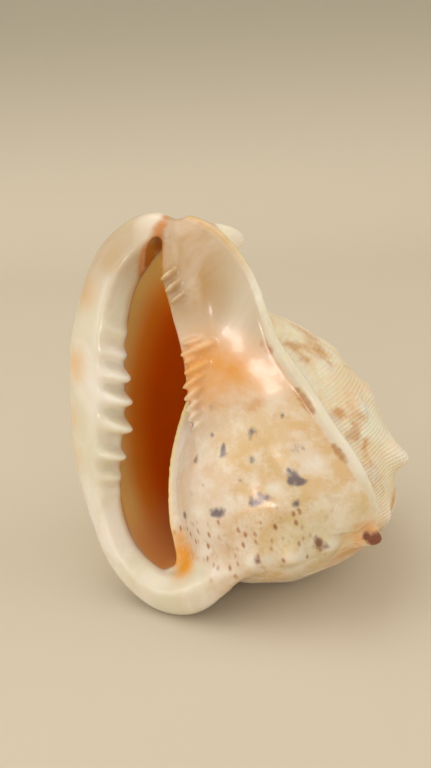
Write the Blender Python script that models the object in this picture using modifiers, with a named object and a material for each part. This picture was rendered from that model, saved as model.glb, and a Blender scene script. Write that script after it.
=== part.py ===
"""A horned helmet shell that stands on its lip, its shoulder knobs and its apex."""
import bpy
import bmesh
from math import cos, pi, radians, sin
from mathutils import Matrix, Vector

# Driving dimensions. Lengths in the shell's own frame are in millimetres: the coiling axis is z,
# the apex is at the origin, the canal is at the top and the mouth looks along -y.
MM = 0.001
LIP_RADIUS = 87.0          # axis to the shoulder where the last whorl meets the lip
WHORL_RATIO = 1.62         # growth of the radius in one turn
WHORL_TURNS = 5.5          # turns that are modelled, from the apex to the lip
LIP_AZIMUTH = 212.0        # where the last whorl ends, in degrees from +x
FLARE = 55.0               # degrees over which the last whorl bends into the lip
SWEEP_STEP = 4.0           # degrees between two sections of the whorls
PROFILE_POINTS = 48
APEX_LIFT = 4.5            # how much the apex is pulled in, which flattens the spire
WALL = 5.0                 # thickness of the last whorl's wall
LIP_WALL = 3.0             # extra thickness of that wall at the lip
CHAMBER_TURN = 330.0       # how far the hollow goes back from the lip, in degrees
CHAMBER_CLOSE = 60.0       # degrees over which the far end of the hollow narrows
MOUTH_STEPS = (12.0, 30.0) # how far the last sections of the hollow are moved out of the mouth
LEAN = 12.5                # how far the canal leans back when the shell stands
ROLL = 15.6                # how far the canal leans to the left when the shell stands
FUSE_VOXEL = 2.0
FINAL_VOXEL = 1.7
TRIANGLES = 9600

# The whorl's outer wall at the lip, from suture to canal, as (radius, height) in lip radii.
WHORL_PROFILE = [
    (0.606, 0.27), (0.755, 0.365), (0.875, 0.49), (0.955, 0.66), (1.0, 0.87), (0.99, 1.08),
    (0.94, 1.36), (0.82, 1.64), (0.64, 1.91), (0.50, 2.04), (0.38, 2.11), (0.26, 2.16),
]
AXIS_SPAN = (0.32, 2.16)   # the part of the axis that a whorl's section reaches, in lip radii
# The wall on the axis side of the hollow, in the same units.
INNER_PROFILE = [
    (0.61, 0.38), (0.625, 0.58), (0.615, 0.80), (0.57, 1.00), (0.49, 1.18), (0.39, 1.34),
    (0.29, 1.50), (0.21, 1.66), (0.17, 1.80), (0.15, 1.94), (0.15, 2.06),
]
SUTURE_TRIM = 3            # points left out of the hollow's outer wall beside the suture
CANAL_TRIM = 2             # points left out of both of its walls beside the canal

# Rows of knobs: height in lip radii, degrees between knobs, azimuth of the largest, rise on the
# back and on the front of the shell, and half width.
KNOB_ROWS = [
    (0.57, 20.5, 336.0, 0.05, 0.21, 0.16),
    (1.01, 24.0, 9.0, 0.25, 0.12, 0.18),
    (1.47, 21.5, 355.0, 0.12, 0.05, 0.15),
    (1.84, 21.0, 354.0, 0.09, 0.04, 0.13),
]
KNOB_SIZES = (0.72, 0.38, 2.4)  # mean size, how much sizes differ, and the step along a row
KNOB_DROOP = 0.5           # how far a knob points back to the spire for each unit that it rises

# Middle line of the thick outer lip, from the parietal wall round to the canal, and half its width.
LIP_LINE = [
    (8, -46, 34, 5), (-8, -50, 30, 7), (-22, -51, 24, 9), (-35, -50, 19.5, 11.2), (-46, -49, 18.5, 11.3),
    (-58, -48, 22.5, 10.8), (-69.5, -47, 33, 10.0), (-76, -47, 46, 9.7), (-78.5, -47, 62, 9.8),
    (-78.8, -47, 80, 11.9), (-76.2, -47, 99, 14.8), (-70.5, -47, 120, 17.4), (-65.5, -47, 140, 17.6),
    (-60, -47, 158, 17.0), (-50, -45, 180, 15.5), (-41, -42, 193.5, 15), (-28, -40, 203.5, 13.5),
    (-14, -37, 207.5, 11.5),
]
WALL_JOIN = 4              # the point of the lip's line where the whorl's wall starts to join it
# Section of the lip: across it (outer edge at -1, mouth at 1) and towards the front.
LIP_SECTION = [
    (-1.0, -0.1), (-0.84, 0.42), (-0.5, 0.74), (-0.05, 0.93), (0.32, 1.0), (0.5, 0.98),
    (0.68, 0.72), (0.83, 0.36), (0.95, -0.05), (0.88, -0.6), (0.55, -0.95), (-0.3, -0.95),
    (-0.8, -0.65),
]
LIP_THICK = 9.5
LIP_TILT = 0.17
# Teeth on the lip's inner slope, as (height, size).
LIP_TEETH = [(165, 0.45), (153, 0.6), (140, 0.85), (129, 1.0), (116, 1.12), (99, 1.05), (86, 0.75)]

# The parietal shield: its edge on the mouth side and its free rim, as (x, y, z) pairs.
SHIELD_SPANS = [
    ((-9, -37, 208), (-1, -34, 209)), ((-11, -40, 203), (9, -37, 204)),
    ((-12, -44, 195), (20, -39, 194)), ((-14, -46, 180), (28, -40, 180)),
    ((-14.4, -46, 165), (32, -41, 168)), ((-14, -46, 150), (34, -42, 155)),
    ((-14, -46, 138), (36, -42, 140)), ((-15.3, -46, 124), (41, -42, 127)),
    ((-16.5, -44.5, 112), (46, -41, 116)), ((-13, -44, 98), (51, -41, 103)),
    ((-5, -50.5, 84), (56, -40, 90)), ((6, -53, 72), (61, -39, 79)),
    ((16, -53, 60), (64, -38, 69)), ((28, -50, 50), (67, -36, 58)),
    ((42, -43, 42), (67.5, -33, 51)), ((55, -35, 39), (66, -29, 45)),
]
SHIELD_THICK = 4.5
SHIELD_BULGE = 3.0
RIM_RADIUS = (2.0, 3.7)

# The rostrum carries the canal over the top of the shell: (x, y, z, radius).
ROSTRUM_LINE = [
    (-2, -8, 120, 17), (-5, -16, 150, 19), (-7, -22, 180, 18), (-7, -18, 194, 15),
    (-5, -4, 195, 11.5), (-2, 8, 194.5, 9.5), (-1, 18, 193, 8.0), (-1, 23, 192, 5.0),
]
CANAL_LINE = [
    (-27, -45, 166, 6.5), (-21.5, -46, 178, 5.6), (-16, -44, 189, 4.4), (-11.5, -42, 200, 3.2),
    (-9, -38, 208, 2.6), (-8, -26, 213, 3.2), (-6, -10, 214, 4.0), (-4, 6, 213, 4.0),
    (-2, 20, 212, 4.0), (0, 34, 210, 4.0),
]
CANAL_DEPTH = 2.2          # depth of the canal for each unit of its width
# The pillar behind the inner lip: (x, y, z, half width, half depth).
COLUMELLA = [
    (-3, -20, 88, 9, 14), (-4, -24, 108, 11, 19), (-4.5, -25, 130, 11, 20),
    (-4, -25, 160, 12, 21), (-4, -25, 185, 10, 19), (-5, -24, 200, 7, 13),
]
# Folds on the inner lip: x, z, half length, half height and rise in degrees to the right.
FOLDS = [
    (-8.4, 182.5, 5.0, 1.5, 20), (-8.2, 177.5, 5.4, 1.5, 20), (-7.2, 171.4, 5.0, 1.5, 18),
    (-3.0, 145.2, 9.6, 1.7, 8), (-6.4, 137.4, 8.0, 1.7, 11), (-8.6, 132.0, 6.8, 1.7, 17),
    (-11.0, 124.6, 5.0, 1.5, 25), (-12.0, 118.0, 4.6, 1.4, 27), (-12.8, 112.0, 4.2, 1.3, 27),
]
FOLD_DEPTH = 3.6
# Lumps of callus: centre, three half lengths and turn about y in degrees.
CALLUS = [
    ((6.5, -46.0, 165.0), (8.0, 5.0, 14.0), -10),
    ((-27.0, -44.0, 27.0), (16.0, 7.0, 11.0), 20),
    ((-12.0, -38.0, 104.0), (8.0, 8.0, 20.0), 12),
]
TOOTH_SIZE = (10.5, 6.0, 4.6)


def remove_everything():
    for item in list(bpy.data.objects):
        bpy.data.objects.remove(item, do_unlink=True)


def new_collection(name):
    group = bpy.data.collections.new(name)
    bpy.context.scene.collection.children.link(group)
    return group


def smooth_step(value):
    value = min(max(value, 0.0), 1.0)
    return value * value * (3.0 - 2.0 * value)


def between(first, second, share):
    return tuple(a + (b - a) * share for a, b in zip(first, second))


def spline(points, count):
    """Points at equal steps along a Catmull-Rom curve through the given ones."""
    ends = [between(points[1], points[0], 2.0)] + list(points) + [between(points[-2], points[-1], 2.0)]
    fine = []
    for i in range(1, len(ends) - 2):
        a, b, c, d = ends[i - 1], ends[i], ends[i + 1], ends[i + 2]
        for step in range(12):
            t = step / 12.0
            fine.append(tuple(
                0.5 * (2 * q + (r - p) * t + (2 * p - 5 * q + 4 * r - s) * t ** 2
                       + (3 * q - p - 3 * r + s) * t ** 3)
                for p, q, r, s in zip(a, b, c, d)))
    fine.append(tuple(points[-1]))
    reach = [0.0]
    for a, b in zip(fine, fine[1:]):
        reach.append(reach[-1] + sum((p - q) ** 2 for p, q in zip(a[:3], b[:3])) ** 0.5)
    result = []
    place = 0
    for i in range(count):
        target = reach[-1] * i / (count - 1)
        while place < len(fine) - 2 and reach[place + 1] < target:
            place += 1
        span = max(reach[place + 1] - reach[place], 1e-9)
        result.append(between(fine[place], fine[place + 1], (target - reach[place]) / span))
    return result


def loft(name, rings, group):
    """A closed solid through rings with the same number of points."""
    mesh = bmesh.new()
    loops = [[mesh.verts.new(Vector(point[:3]) * MM) for point in ring] for ring in rings]
    count = len(rings[0])
    for first, second in zip(loops, loops[1:]):
        for i in range(count):
            j = (i + 1) % count
            mesh.faces.new((first[i], first[j], second[j], second[i]))
    mesh.faces.new(loops[0][::-1])
    mesh.faces.new(loops[-1])
    bmesh.ops.recalc_face_normals(mesh, faces=mesh.faces)
    data = bpy.data.meshes.new(name)
    mesh.to_mesh(data)
    mesh.free()
    body = bpy.data.objects.new(name, data)
    group.objects.link(body)
    return body


def fused(name, pieces, voxel, group):
    """One solid from overlapping ones, by a voxel remesh."""
    mesh = bmesh.new()
    for piece in pieces:
        mesh.from_mesh(piece.data)
    data = bpy.data.meshes.new(name)
    mesh.to_mesh(data)
    mesh.free()
    body = bpy.data.objects.new(name, data)
    group.objects.link(body)
    remesh = body.modifiers.new("Fuse", "REMESH")
    remesh.mode = "VOXEL"
    remesh.voxel_size = voxel * MM
    apply_modifiers(body)
    for piece in pieces:
        bpy.data.objects.remove(piece, do_unlink=True)
    return body


def keep_largest_body(body):
    """Deletes crumbs and closed bubbles, which a remesh leaves as bodies of their own."""
    mesh = bmesh.new()
    mesh.from_mesh(body.data)
    waiting = set(mesh.verts)
    bodies = []
    while waiting:
        edge = [waiting.pop()]
        found = set(edge)
        while edge:
            vertex = edge.pop()
            for link in vertex.link_edges:
                other = link.other_vert(vertex)
                if other in waiting:
                    waiting.remove(other)
                    found.add(other)
                    edge.append(other)
        bodies.append(found)
    bodies.sort(key=len)
    crumbs = [vertex for found in bodies[:-1] for vertex in found]
    bmesh.ops.delete(mesh, geom=crumbs, context="VERTS")
    mesh.to_mesh(body.data)
    mesh.free()


def apply_modifiers(body):
    graph = bpy.context.evaluated_depsgraph_get()
    result = bpy.data.meshes.new_from_object(body.evaluated_get(graph))
    body.modifiers.clear()
    body.data = result


def cut(body, cutter):
    tool = body.modifiers.new("Cut", "BOOLEAN")
    tool.operation = "DIFFERENCE"
    tool.solver = "EXACT"
    tool.object = cutter
    cutter.hide_render = True
    cutter.display_type = "WIRE"
    apply_modifiers(body)


def knob_height(back, height):
    """How far knobs push the wall out at a place, in units of the whorl's own radius."""
    azimuth = (LIP_AZIMUTH - back) % 360.0
    mean, differ, step = KNOB_SIZES
    rise = 0.0
    front = smooth_step((back - 200.0) / 25.0)
    for row, spacing, largest, back_rise, front_rise, width in KNOB_ROWS:
        place = ((azimuth - largest + 180.0) % 360.0 - 180.0) / spacing
        number = round(place)
        across = radians(abs(place - number) * spacing) / width
        along = abs(height - row) / width
        away = (across ** 2 + along ** 2) ** 0.5
        if away < 1.0:
            size = mean + differ * cos(step * number)
            amount = back_rise + (front_rise - back_rise) * front
            rise += amount * size * (1.0 - away) ** 1.2
    worn = 1.0 - 0.4 * smooth_step((back - 240.0) / 15.0) - 0.3 * smooth_step((back - 275.0) / 25.0)
    return rise * worn * smooth_step((back - 6.0) / 12.0)


def whorl_wall(back, knobs=True):
    """The outer wall's line a number of degrees before the lip, from suture to canal."""
    scale = LIP_RADIUS * WHORL_RATIO ** (-back / 360.0)
    azimuth = radians(LIP_AZIMUTH - back)
    around = Vector((cos(azimuth), sin(azimuth), 0.0))
    profile = spline(WHORL_PROFILE, PROFILE_POINTS)
    lift = APEX_LIFT * (1.0 - scale / LIP_RADIUS)
    line = [around * radius * scale + Vector((0, 0, height * scale + lift))
            for radius, height in profile]
    bend = smooth_step(1.0 - back / FLARE)
    if bend > 0.0:
        lip_line = spline(LIP_LINE[WALL_JOIN:], PROFILE_POINTS)
        line = [point.lerp(Vector(edge[:3]), bend) for point, edge in zip(line, lip_line)]
    if knobs:
        lean = around - Vector((0, 0, KNOB_DROOP))
        line = [point + lean * knob_height(back, height) * scale
                for point, (radius, height) in zip(line, profile)]
    return line


def whorls(group):
    rings = []
    back = WHORL_TURNS * 360.0
    while back > -0.01:
        scale = LIP_RADIUS * WHORL_RATIO ** (-back / 360.0)
        wall = whorl_wall(back)
        lift = APEX_LIFT * (1.0 - scale / LIP_RADIUS)
        axis = [Vector((0.0, 0.0, height * scale + lift)) for height in AXIS_SPAN[::-1]]
        rings.append(wall + axis)
        back -= SWEEP_STEP
    return loft("whorls", rings, group)


def chamber(group):
    """The hollow of the last whorl, opened through the mouth."""
    rings = []
    back = CHAMBER_TURN
    while back > -0.01:
        scale = LIP_RADIUS * WHORL_RATIO ** (-back / 360.0)
        azimuth = radians(LIP_AZIMUTH - back)
        lift = APEX_LIFT * (1.0 - scale / LIP_RADIUS)
        inner = [
            Vector((radius * scale * cos(azimuth), radius * scale * sin(azimuth), height * scale + lift))
            for radius, height in spline(INNER_PROFILE, PROFILE_POINTS)]
        depth = WALL + LIP_WALL * smooth_step(1.0 - back / FLARE)
        outer = []
        for point, inside in zip(whorl_wall(back, knobs=False), inner):
            gap = inside - point
            outer.append(point + gap.normalized() * min(depth, gap.length * 0.45))
        width = 0.2 + 0.8 * smooth_step((CHAMBER_TURN - back) / CHAMBER_CLOSE)
        middle = [(a + b) / 2.0 for a, b in zip(outer, inner)]
        outer = [m.lerp(a, width) for m, a in zip(middle, outer)]
        inner = [m.lerp(a, width) for m, a in zip(middle, inner)]
        rings.append(outer[SUTURE_TRIM:-CANAL_TRIM] + inner[:-CANAL_TRIM][::-1])
        back -= SWEEP_STEP
    for forward in MOUTH_STEPS:
        rings.append([point - Vector((0.0, forward, 0.0)) for point in rings[-1]])
    return loft("chamber", rings, group)


def tube(name, line, group, count=40, sides=20, deepen=1.0):
    """A round or oval bar along a line of (x, y, z, radius) points."""
    route = spline(line, count)
    rings = []
    for i, point in enumerate(route):
        ahead = Vector(route[min(i + 1, count - 1)][:3])
        behind = Vector(route[max(i - 1, 0)][:3])
        along = (ahead - behind).normalized()
        side = along.cross(Vector((0, 1, 0))).normalized()
        front = side.cross(along).normalized()
        ring = []
        for k in range(sides):
            turn = 2 * pi * k / sides
            ring.append(Vector(point[:3]) + point[3] * (side * cos(turn) + front * sin(turn) * deepen))
        rings.append(ring)
    return loft(name, rings, group)


def lip(group):
    count = 70
    route = spline(LIP_LINE, count)
    outline = spline(LIP_SECTION + LIP_SECTION[:1], 29)[:-1]
    rings = []
    for i, point in enumerate(route):
        ahead = Vector(route[min(i + 1, count - 1)][:3])
        behind = Vector(route[max(i - 1, 0)][:3])
        along = (ahead - behind).normalized()
        inward = along.cross(Vector((0, -1, 0))).normalized()
        across_way = (inward + Vector((0, -LIP_TILT, 0))).normalized()
        front = across_way.cross(along).normalized()
        thick = LIP_THICK * (0.7 + 0.3 * smooth_step((point[3] - 6.0) / 10.0))
        rings.append([
            Vector(point[:3]) + across_way * point[3] * across + front * thick * up
            for across, up in outline])
    return loft("lip", rings, group)


def lump(name, centre, radii, turns, group):
    """An egg-shaped lump with its three half lengths, turned by degrees about x, y and z."""
    mesh = bmesh.new()
    bmesh.ops.create_uvsphere(mesh, u_segments=16, v_segments=12, radius=1.0)
    size = Matrix.Diagonal(Vector(radii) * MM).to_4x4()
    turn = Matrix.Identity(4)
    for angle, letter in zip(turns, "XYZ"):
        turn = Matrix.Rotation(radians(angle), 4, letter) @ turn
    place = Matrix.Translation(Vector(centre) * MM)
    bmesh.ops.transform(mesh, matrix=place @ turn @ size, verts=mesh.verts)
    data = bpy.data.meshes.new(name)
    mesh.to_mesh(data)
    mesh.free()
    body = bpy.data.objects.new(name, data)
    group.objects.link(body)
    return body


def lip_teeth(group):
    """Rounded ridges on the inner slope of the lip, largest in the middle."""
    route = spline(LIP_LINE, 300)[100:]
    teeth = []
    for height, size in LIP_TEETH:
        x, y, z, half = min(route, key=lambda point: abs(point[2] - height))
        centre = (x + half * 0.95, y - 5.0, z)
        radii = [length * size for length in TOOTH_SIZE]
        teeth.append(lump("tooth", centre, radii, (0, 10, 14), group))
    return teeth


def shield(group):
    count = 60
    left = spline([span[0] for span in SHIELD_SPANS], count)
    right = spline([span[1] for span in SHIELD_SPANS], count)
    rings = []
    for inner, rim in zip(left, right):
        inner, rim = Vector(inner), Vector(rim)
        across = rim - inner
        out = Vector((across.y, -across.x, 0)).normalized()
        thick = min(SHIELD_THICK, across.length * 0.45)
        front, back = [], []
        for k in range(11):
            share = k / 10.0
            bulge = SHIELD_BULGE * sin(pi * share) * min(across.length / 40.0, 1.0)
            middle = inner + across * share
            front.append(middle + out * bulge)
            back.append(middle + out * (bulge - thick * (1.0 + 0.6 * (1.0 - share))))
        rings.append(front + back[::-1])
    plate = loft("plate", rings, group)
    thin, thick = RIM_RADIUS
    rim_line = [span[1] + (thin + (thick - thin) * smooth_step((165.0 - span[1][2]) / 40.0),)
                for span in SHIELD_SPANS]
    rim = tube("rim", rim_line, group, count=60, sides=12)
    return [plate, rim]


def columella(group):
    rings = []
    for x, y, z, half, deep in spline(COLUMELLA, 24):
        rings.append([(x + half * cos(2 * pi * k / 24), y + deep * sin(2 * pi * k / 24), z)
                      for k in range(24)])
    return loft("columella", rings, group)


def folds(group):
    """Ridges on the inner lip, and the raised pad and fillets of callus beside them."""
    ridges = []
    for x, z, length, height, climb in FOLDS:
        radii = (length, FOLD_DEPTH, height)
        ridges.append(lump("fold", (x, -48.0, z), radii, (0, -climb, 0), group))
    for centre, radii, turn in CALLUS:
        ridges.append(lump("callus", centre, radii, (0, turn, 0), group))
    return ridges


def material():
    finish = bpy.data.materials.new("shell_enamel")
    finish.use_nodes = True
    shader = finish.node_tree.nodes["Principled BSDF"]
    shader.inputs["Base Color"].default_value = (0.80, 0.66, 0.49, 1.0)
    shader.inputs["Roughness"].default_value = 0.35
    shader.inputs["Metallic"].default_value = 0.0
    return finish


def stand(body):
    """Turns the shell to the way it rests and puts it on the ground, centred on the origin."""
    turn = Matrix.Rotation(radians(-LEAN), 4, "X") @ Matrix.Rotation(radians(-ROLL), 4, "Y")
    body.data.transform(turn)
    points = [vertex.co for vertex in body.data.vertices]
    low = [min(point[i] for point in points) for i in range(3)]
    high = [max(point[i] for point in points) for i in range(3)]
    middle = Vector(((low[0] + high[0]) / 2.0, (low[1] + high[1]) / 2.0, low[2]))
    body.data.transform(Matrix.Translation(-middle))


def build_shell():
    remove_everything()
    parts = new_collection("helmet_shell")
    cutters = new_collection("cutters")
    core = fused("core", [whorls(parts), tube("rostrum", ROSTRUM_LINE, parts)], FUSE_VOXEL, parts)
    hollow = chamber(cutters)
    cut(core, hollow)
    pieces = [core, lip(parts), columella(parts)] + lip_teeth(parts) + shield(parts) + folds(parts)
    shell = fused("shell", pieces, FUSE_VOXEL, parts)
    canal = tube("canal", CANAL_LINE, cutters, deepen=CANAL_DEPTH)
    cut(shell, canal)
    remesh = shell.modifiers.new("Even", "REMESH")
    remesh.mode = "VOXEL"
    remesh.voxel_size = FINAL_VOXEL * MM
    smooth = shell.modifiers.new("Smooth", "SMOOTH")
    smooth.factor = 0.5
    smooth.iterations = 4
    apply_modifiers(shell)
    keep_largest_body(shell)
    thin = shell.modifiers.new("Thin", "DECIMATE")
    thin.ratio = TRIANGLES / sum(len(face.vertices) - 2 for face in shell.data.polygons)
    apply_modifiers(shell)
    shell.data.materials.clear()
    shell.data.materials.append(material())
    shell.data.shade_smooth()
    stand(shell)
    return shell


build_shell()
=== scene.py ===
from math import cos, pi, radians, sin
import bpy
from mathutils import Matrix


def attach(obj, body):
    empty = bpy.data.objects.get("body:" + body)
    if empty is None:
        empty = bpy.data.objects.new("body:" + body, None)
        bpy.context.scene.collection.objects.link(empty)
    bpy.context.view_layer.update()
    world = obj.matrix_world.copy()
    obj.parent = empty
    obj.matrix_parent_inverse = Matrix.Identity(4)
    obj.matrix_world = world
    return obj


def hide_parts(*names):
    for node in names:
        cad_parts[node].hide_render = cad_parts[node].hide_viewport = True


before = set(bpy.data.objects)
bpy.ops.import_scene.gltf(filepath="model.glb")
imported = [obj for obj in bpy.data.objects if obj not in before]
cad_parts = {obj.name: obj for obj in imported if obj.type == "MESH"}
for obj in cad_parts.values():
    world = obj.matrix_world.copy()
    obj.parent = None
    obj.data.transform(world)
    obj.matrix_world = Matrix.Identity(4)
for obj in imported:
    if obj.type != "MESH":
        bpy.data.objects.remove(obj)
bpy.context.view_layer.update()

from types import SimpleNamespace

import bmesh
import bpy
import numpy as np
from mathutils import Matrix, Vector
from mathutils.bvhtree import BVHTree

mm = 0.001
bellBase = 2.718                   # base of the bell curves that shape the teeth and the pad

# The shell's own frame, in millimetres: apex at the origin, coiling axis up to the canal,
# mouth towards -y. A place on a whorl is its azimuth and its height in lip radii.
whorlForm = {
    "lipRadius": 87.0, "growth": 1.62, "turns": 5.5, "lipAzimuth": 212.0,
    "flare": 55.0, "step": 3.0, "points": 72, "apexLift": 4.5,
    "profile": [
        (0.606, 0.27), (0.755, 0.365), (0.875, 0.49), (0.955, 0.66), (1.0, 0.87), (0.99, 1.08),
        (0.94, 1.36), (0.82, 1.64), (0.64, 1.91), (0.50, 2.04), (0.38, 2.11), (0.26, 2.16)],
    "axisSpan": (0.32, 2.16),
}
knobForm = {
    # height, degrees apart, azimuth of the largest, rise on the back, rise on the front, half width
    "rows": [
        (0.57, 20.5, 336.0, 0.05, 0.21, 0.16), (1.01, 24.0, 9.0, 0.18, 0.05, 0.18),
        (1.47, 21.5, 355.0, 0.12, 0.04, 0.15), (1.84, 21.0, 354.0, 0.09, 0.03, 0.13)],
    "mean": 0.72, "differ": 0.38, "stride": 2.4, "droop": 0.5, "taper": 1.2,
    # degrees behind the lip: where a change starts, how long it takes, and how much is worn off
    "begin": (6.0, 12.0), "front": (200.0, 25.0), "worn": [(240.0, 15.0, 0.4), (290.0, 25.0, 0.3)],
}
hollowForm = {
    "wall": 5.0, "lipWall": 3.0, "turn": 330.0, "close": 60.0, "mouthSteps": (12.0, 30.0),
    "sutureTrim": 5, "canalTrim": 2, "tail": 0.2, "deepest": 0.45,
    "profile": [
        (0.61, 0.38), (0.625, 0.58), (0.615, 0.80), (0.57, 1.00), (0.49, 1.18), (0.39, 1.34),
        (0.29, 1.50), (0.21, 1.66), (0.17, 1.80), (0.15, 1.94), (0.15, 2.06)],
}
lipForm = {
    "line": [
        (8, -46, 34, 5), (-8, -50, 30, 7), (-22, -51, 24, 9), (-35, -50, 19.5, 11.2),
        (-46, -49, 18.5, 11.3), (-58, -48, 22.5, 10.8), (-69.5, -47, 33, 10.0), (-76, -47, 46, 9.7),
        (-78.5, -47, 62, 9.8),
        (-78.8, -47, 80, 11.9), (-76.2, -47, 99, 14.8), (-70.5, -47, 120, 17.4), (-65.5, -47, 140, 17.6),
        (-60, -47, 158, 17.0), (-50, -45, 180, 15.5), (-41, -42, 193.5, 15), (-28, -40, 202.5, 13.3),
        (-17.5, -38, 206.0, 10.5), (-11, -36.5, 205.5, 7.0), (-7, -35.5, 203.5, 3.5)],
    "wallJoin": 4, "thick": 9.5, "tilt": 0.17, "steps": 380, "sectionSteps": 60,
    "thinEnd": (0.7, 6.0, 10.0),       # share of the thickness at the thin ends, and the widths between
    "section": [
        (-1.0, -0.1), (-0.84, 0.42), (-0.5, 0.74), (-0.05, 0.93), (0.32, 1.0), (0.5, 0.98),
        (0.68, 0.74), (0.85, 0.38), (1.0, -0.05), (0.97, -0.55), (0.6, -0.95), (-0.3, -0.95),
        (-0.8, -0.65)],
    # teeth on the inner slope: height and size of each
    "teeth": [
        (165, 0.25), (153, 0.45), (141, 0.85), (128.5, 1.0), (115.5, 1.15), (99, 1.0), (86, 0.5),
        (77, 0.2)],
    # rise and valley in half widths of the lip, half width and slant in mm
    "toothRise": 0.52, "valley": 0.12, "toothWidth": 3.1, "toothSlant": 5.0,
    "toothTaper": 2.2, "toothStep": 120, "toothSlope": (0.45, 0.5), "toothFoot": (0.85, 0.6),
}
shieldForm = {
    # edge on the mouth side, free rim
    "spans": [
        ((-4, -36, 209.5), (0, -34, 209.5)), ((-11.5, -40, 204), (9, -37, 204.5)),
        ((-13.6, -44, 195), (20, -39, 194)), ((-15.5, -46, 180), (28, -40, 180)),
        ((-14.6, -46, 165), (32, -41, 168)), ((-14, -46, 150), (34, -42, 155)),
        ((-14, -46, 138), (36, -42, 140)), ((-15.3, -46, 124), (41, -42, 127)),
        ((-16.5, -44.5, 112), (46, -41, 116)), ((-13, -44, 98), (51, -41, 103)),
        ((-5, -50.5, 84), (56, -40, 90)), ((6, -53, 72), (61, -39, 79)),
        ((16, -53, 60), (64, -38, 69)), ((28, -50, 50), (67, -36, 58)),
        ((42, -43, 42), (67.5, -33, 51)), ((55, -35, 39), (66, -29, 45))],
    "thick": 4.5, "bulge": 3.0, "rimRadius": (1.5, 2.8), "rimEnd": 0.8,
    "rimGrows": (165.0, 40.0), "rimEnds": (75.0, 30.0), "steps": 200, "stepsAcross": 36,
    # x, z, half width, half height, turn, rise
    "pad": (6.5, 165.0, 9.0, 17.0, -10, 2.4), "padTaper": 1.3,
}
canalForm = {
    "rostrum": [
        (-2, -8, 120, 17), (-5, -16, 150, 19), (-7, -22, 180, 18), (-7, -18, 194, 15),
        (-5, -4, 196, 11.0), (-2, 8, 196.5, 8.5), (0, 18, 196, 6.0), (1, 25, 195.5, 3.0)],
    "groove": [
        (-28, -41, 166, 7.0), (-24.5, -41, 178, 6.4), (-21.0, -41, 188, 5.4), (-17.8, -41, 197, 3.2),
        (-13, -30, 205, 2.4), (-8, -18, 211, 2.8), (-6, -10, 214, 3.4), (-4, 6, 215, 3.4),
        (-2, 20, 215, 3.4), (0, 34, 215, 3.4)],
    "depth": 2.3,
    # x, y, z, half width, half depth
    "pillar": [
        (-3, -20, 88, 9, 14), (-4, -24, 108, 11, 19), (-4.5, -25, 130, 11, 20),
        (-4, -25, 160, 12, 21), (-4, -25, 185, 10, 19), (-5, -24, 200, 7, 13)],
}
callusForm = {
    # folds: x, z, half length, half height, degrees up to the right
    "folds": [
        (-10.8, 182.5, 5.2, 1.7, 24), (-9.8, 176.3, 5.4, 1.8, 26), (-8.2, 170.2, 5.2, 1.5, 22),
        (-5.0, 147.6, 7.0, 1.3, 5), (-3.4, 143.4, 11.0, 2.0, 9), (-8.2, 138.6, 5.0, 1.4, 12),
        (-6.4, 134.2, 8.4, 2.0, 14), (-9.4, 128.0, 8.2, 1.8, 22), (-11.4, 121.8, 6.8, 1.8, 27),
        (-13.0, 115.6, 5.8, 1.7, 30), (-13.8, 110.2, 5.2, 1.5, 30), (-13.8, 105.2, 4.6, 1.4, 30)],
    "foldDepth": 3.3, "foldPlace": -47.4,
    # lumps: centre, half lengths, turn about y
    "lumps": [
        ((-27.0, -44.0, 27.0), (16.0, 7.0, 11.0), 20),
        ((-13.0, -46.0, 35.0), (17.0, 9.5, 10.0), 10), ((3.0, -46.0, 34.0), (13.0, 9.0, 8.0), 0),
        ((-12.0, -38.0, 104.0), (8.0, 8.0, 20.0), 12)],
}
meshForm = {
    "coreVoxel": 1.5, "baseVoxel": 1.3, "fineVoxel": 0.95, "triangles": 190000,
    # joins that are rubbed softer: centre, reach, rounds
    "softer": [
        ((-14, -50, 36), 24, 50), ((4, -50, 36), 22, 40), ((-33, -46, 42), 18, 90),
        ((-36, -46, 34), 9, 20), ((-8, -48, 176), 13, 5), ((-6, -48, 128), 26, 5),
        ((-12, -42, 100), 16, 20), ((66, -30, 46), 12, 10), ((74, 8, 59), 12, 16),
        ((-14, -38, 205), 10, 10), ((0, -38, 205), 9, 8)],
}
standForm = {"lean": 12.5, "roll": 15.6, "middle": (-29.7, 21.08, 4.52)}


def smoothStep(value):
    value = min(max(value, 0.0), 1.0)
    return value * value * (3.0 - 2.0 * value)


def between(first, second, share):
    return tuple(a + (b - a) * share for a, b in zip(first, second))


def evenCurve(points, count, parts=12):
    # points at equal steps along a smooth curve through the given ones
    ends = [between(points[1], points[0], 2.0)] + list(points) + [between(points[-2], points[-1], 2.0)]
    fine = []
    for a, b, c, d in zip(ends, ends[1:], ends[2:], ends[3:]):
        for step in range(parts):
            t = step / parts
            fine.append(tuple(
                0.5 * (2 * q + (r - p) * t + (2 * p - 5 * q + 4 * r - s) * t ** 2
                       + (3 * q - p - 3 * r + s) * t ** 3)
                for p, q, r, s in zip(a, b, c, d)))
    fine.append(tuple(points[-1]))
    reach = np.concatenate([[0.0], np.cumsum([
        sum((p - q) ** 2 for p, q in zip(a[:3], b[:3])) ** 0.5 for a, b in zip(fine, fine[1:])])])
    targets = np.linspace(0.0, reach[-1], count)
    columns = [np.interp(targets, reach, [point[i] for point in fine]) for i in range(len(fine[0]))]
    return [tuple(float(v) for v in row) for row in zip(*columns)]


def addObject(name, mesh):
    data = bpy.data.meshes.new(name)
    mesh.to_mesh(data)
    mesh.free()
    body = bpy.data.objects.new(name, data)
    bpy.context.scene.collection.objects.link(body)
    return body


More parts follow.
